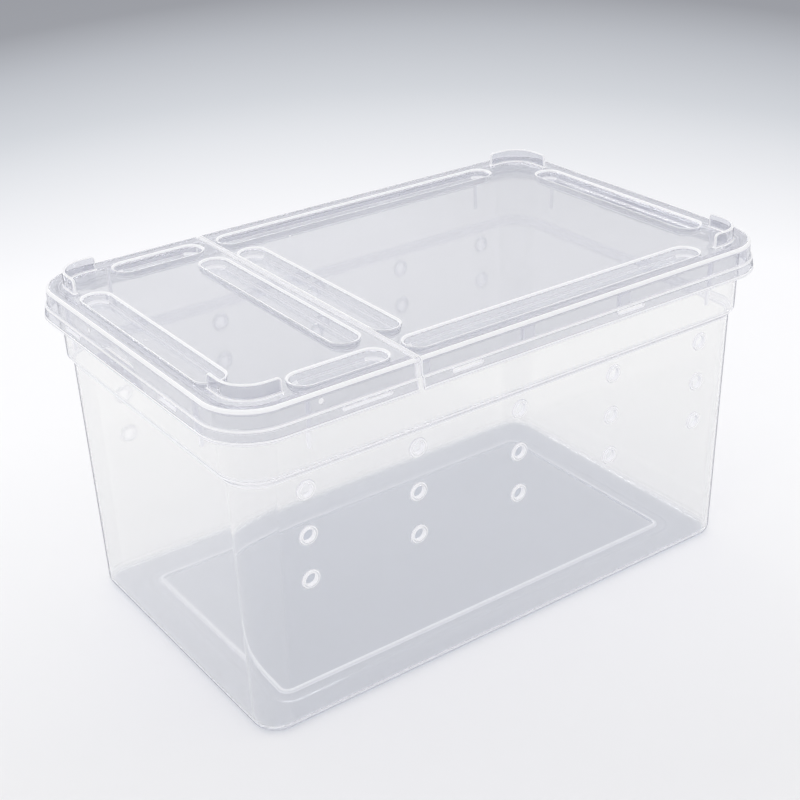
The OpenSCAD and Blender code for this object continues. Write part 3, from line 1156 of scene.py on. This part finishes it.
    def build(self) -> None:
        """Model the whole flap."""
        sign = self.side.value
        cut_x = FOLD_X + sign * (self.half_slit + self.cut_soft)
        self.draw(self.skirt(), CORNER_AXIS, ALONG_X)
        self.carry_round(AXIS_X, AXIS_Y, CORNER_STEPS)
        self.slice(cut_x * ALONG_X, -sign * ALONG_X, clear_outer=True)
        self.close_cut(cut_x)
        for chan in self.channels:
            turn = Matrix.Rotation(QUARTER, 4, "Z") if chan.crosswise else Matrix.Identity(4)
            self.take(self.channel(chan.length), Matrix.Translation((chan.x, chan.y, LID_TOP)) @ turn)
        for face in (-1, 1):
            flip = Matrix.Diagonal((sign, face, 1, 1))
            self.take(self.tab(), Matrix.Translation((sign * AXIS_X, face * AXIS_Y, LID_TOP)) @ flip)
        if self.side is FlapSide.LARGE:
            self.take(pip(*PIN_MARK), Matrix.Translation(PLATE_MARK))
        for x, y in PIN_MARKS[self.side]:
            self.take(pip(*PIN_MARK), Matrix.Translation((x, y, LID_TOP - self.chan_depth)))
        self.fill_levels(LID_TOP, LID_TOP - self.chan_depth, self.under_z)
        lean = self.band_lean / (LID_TOP - self.band_z)
        end_out = (sign * ALONG_X + lean * UP).normalized()
        at = Vector((sign * (AXIS_X + self.band + lean * (LID_TOP - self.thumb_z)), 0, self.thumb_z))
        self.take(self.thumb_recess(), facing(end_out, at, sign * ALONG_Y))
        if self.side is FlapSide.SMALL:
            out = self.band + lean * (LID_TOP - GATE_Z)
            front, front_out = Vector((0, -AXIS_Y - out, GATE_Z)), (lean * UP - ALONG_Y).normalized()
            self.mark_gate(end_out, Vector((sign * (AXIS_X + out), 0, GATE_Z)), END_GATE)
            self.mark_gate(front_out, front, FRONT_GATE)
            self.reopen(front_out, front)
        self.reopen(end_out, at)
        self.finish("small_flap_shell" if sign < 0 else "large_flap_shell")
        self.cut_away(self.slots())


@dataclass
class FoldWeb(Form):
    """The thin moulded strip along which the two flaps fold."""

    width: float = 2.4
    length: float = 195.0
    thick: float = 0.5
    bevel: float = 0.2
    light: float = 0.5

    def build(self) -> None:
        """Model the strip."""
        middle = (FOLD_X, 0, LID_TOP - self.thick / 2)
        place = Matrix.LocRotScale(middle, None, (self.width, self.length, self.thick))
        bmesh.ops.create_cube(self.bm, size=1.0, matrix=place)
        self.soften(Softened.EDGES, self.bm.edges[:], self.bevel, 3)
        self.light_up(self.light)
        self.finish("fold_web_strip")


@dataclass(frozen=True)
class Lamp:
    """A soft lamp that faces the box, with its place and size in metres and its power in watts."""

    name: str
    at: tuple[float, float, float]
    size: Pair
    power: float

    def hang(self) -> None:
        """Hang the lamp."""
        data = bpy.data.lights.new(self.name, "AREA")
        data.shape = "RECTANGLE"
        data.size, data.size_y = self.size
        data.energy = self.power
        place = Vector(self.at)
        turn = (LAMP_AIM - place).to_track_quat("-Z", "Y").to_matrix().to_4x4()
        put_in_scene(self.name, data).matrix_world = Matrix.Translation(place) @ turn


LAMP_AIM = Vector((0.0, 0.0, 0.1))
LAMPS = (
    Lamp("key_left", at=(-1.3, -0.6, 1.3), size=(0.3, 0.8), power=5.0),
    Lamp("top_back", at=(0.3, 1.2, 1.6), size=(1.0, 0.3), power=7.0),
    Lamp("fill_right", at=(1.4, -0.8, 0.9), size=(0.25, 0.8), power=3.5),
)


@dataclass
class Studio:
    """Pale floor, soft lamps, pale surroundings and the camera."""

    lens: float = 65.72
    sensor: float = 36.0
    clip: Pair = (0.01, 100.0)
    azimuth: float = -34.95
    elevation: float = 26.84
    distance: float = 775.93
    aim: tuple[float, float, float] = (-4.03, 2.89, 95.92)
    roll: float = -1.99
    # Pale paper with painted light: lighter round the box, and a grey belt of painted shade far behind it
    floor_paper_and_painted_light: tuple[tuple[float, str], ...] = (
        (-0.4, "#e7e7e9"),
        (-0.16, "#eaeaeb"),
        (0.02, "#f1f1f2"),
        (0.2, "#f6f6f7"),
        (0.5, "#f5f5f7"),
        (0.7, "#e8e9ec"),
        (0.85, "#dcdee2"),
        (1.0, "#cdd0d5"),
        (1.3, "#b9bcc2"),
        (1.6, "#9c9ea4"),
        (2.1, "#9c9ea4"),
        (3.2, "#c6c8cc"),
        (4.3, "#e9eaeb"),
        (5.6, "#f8f8f9"),
    )
    sky: str = "#f9f9fa"
    sky_strength: float = 0.88
    floor_half: float = 8.0
    floor_drop: float = 0.0002
    floor_glow: float = 0.3
    floor_bow: float = 0.9

    def camera(self) -> None:
        """Set up the camera."""
        a, e, r = (math.radians(v) for v in (self.azimuth, self.elevation, self.roll))
        back = Vector((math.sin(a) * math.cos(e), -math.cos(a) * math.cos(e), math.sin(e)))
        right = UP.cross(back).normalized()
        high = back.cross(right)
        x_axis = right * math.cos(r) + high * math.sin(r)
        y_axis = high * math.cos(r) - right * math.sin(r)
        data = bpy.data.cameras.new("viewpoint")
        data.lens = self.lens
        data.sensor_width = self.sensor
        data.clip_start, data.clip_end = self.clip
        place = Matrix((x_axis, y_axis, back)).transposed().to_4x4()
        place.translation = (Vector(self.aim) + back * self.distance) * MM
        thing = put_in_scene("viewpoint", data)
        thing.matrix_world = place
        bpy.context.scene.camera = thing

    def seen(self, tree: NodeTree) -> Node:
        """Tell the rays that show the surroundings from those that light the box.

        Args:
            tree: The node tree to work in.

        Returns:
            A node that gives 1 for rays from the camera and through or off a glossy surface, and 0
            once a ray has left a matt surface.
        """
        path = add_node(tree, "LightPath").outputs
        glossy, passing = path["Is Glossy Ray"], path["Is Transmission Ray"]
        direct = add_node(tree, "Math", {"operation": "MAXIMUM"}, i0=path["Is Camera Ray"], i1=glossy)
        either = add_node(tree, "Math", {"operation": "MAXIMUM"}, i0=direct, i1=passing)
        lights = add_node(tree, "Math", {"operation": "GREATER_THAN"}, i0=path["Diffuse Depth"], i1=0.5)
        return add_node(tree, "Math", {"operation": "SUBTRACT", "use_clamp": True}, i0=either, i1=lights)

    def floor(self) -> None:
        """Lay the floor: pale paper with painted light, near white round the box, painted shade in a grey
        belt far behind it, and pale again beyond.
        """
        form = bmesh.new()
        bmesh.ops.create_grid(form, x_segments=1, y_segments=1, size=self.floor_half)
        bmesh.ops.translate(form, vec=(0, 0, -self.floor_drop), verts=form.verts[:])
        mesh = bpy.data.meshes.new("floor")
        form.to_mesh(mesh)
        form.free()
        # Matt paper, laid flat: it has no shine, and shows no edge
        material = bpy.data.materials.new("pale_paper_sweep")
        tree = clear_tree(material)
        # How far behind the box a point lies, and how far aside of it, bowed a little
        where = add_node(tree, "TexCoord").outputs["Object"]
        a = math.radians(self.azimuth)
        along = {"operation": "DOT_PRODUCT"}
        deep, aside = (
            add_node(tree, "VectorMath", along, i0=where, i1=direction).outputs["Value"]
            for direction in ((-math.sin(a), math.cos(a), 0.0), (math.cos(a), math.sin(a), 0.0))
        )
        square = add_node(tree, "Math", {"operation": "MULTIPLY"}, i0=aside, i1=aside)
        away = add_node(tree, "Math", {"operation": "MULTIPLY_ADD"}, i0=square, i1=self.floor_bow, i2=deep)
        first, last = self.floor_paper_and_painted_light[0][0], self.floor_paper_and_painted_light[-1][0]
        share = add_node(tree, "MapRange", Value=away, From_Min=first, From_Max=last)
        ramp = add_node(tree, "ValToRGB", Fac=share)
        stops = ramp.color_ramp.elements
        for away_m, _ in self.floor_paper_and_painted_light[1:-1]:
            stops.new((away_m - first) / (last - first))
        for stop, (_, colour) in zip(stops, self.floor_paper_and_painted_light):
            stop.color = linear(colour)
        lit = add_node(tree, "BsdfDiffuse", Color=ramp)
        glow = add_node(tree, "Emission", Color=ramp, Strength=1.0)
        part = add_node(tree, "Math", {"operation": "MULTIPLY"}, i0=self.seen(tree), i1=self.floor_glow)
        mixed = add_node(tree, "MixShader", Fac=part, i1=lit, i2=glow)
        add_node(tree, "OutputMaterial", Surface=mixed)
        mesh.materials.append(material)
        put_in_scene("floor", mesh)

    def surroundings(self) -> None:
        """Set the plain pale surroundings."""
        world = bpy.data.worlds.new("pale_surroundings")
        tree = clear_tree(world)
        sky = add_node(tree, "Background", Color=linear(self.sky), Strength=self.sky_strength)
        add_node(tree, "OutputWorld", Surface=sky)
        bpy.context.scene.world = world

    def set_up(self) -> None:
        """Set up camera, floor, lamps, surroundings and colour handling."""
        self.camera()
        self.floor()
        for lamp in LAMPS:
            lamp.hang()
        self.surroundings()
        bpy.context.scene.view_settings.view_transform = "Standard"


def main() -> None:
    """Build the studio and the box, and report each piece."""
    Studio().set_up()
    tub_resin, lid_resin = TUB_RESIN.make(), LID_RESIN.make()
    for piece, body, node, slot, resin in (
        (Tub(), "tub", "tub", "clear_tub", tub_resin),
        (Flap(FlapSide.SMALL), "small_flap", "small_flap", "clear_lid", lid_resin),
        (Flap(FlapSide.LARGE), "large_flap", "large_flap", "clear_lid", lid_resin),
        (FoldWeb(), "hinge_web", "hinge_web", "clear_lid", lid_resin),
    ):
        piece.build()
        piece.dress(body, node, slot, resin)


if __name__ == "__main__":
    main()
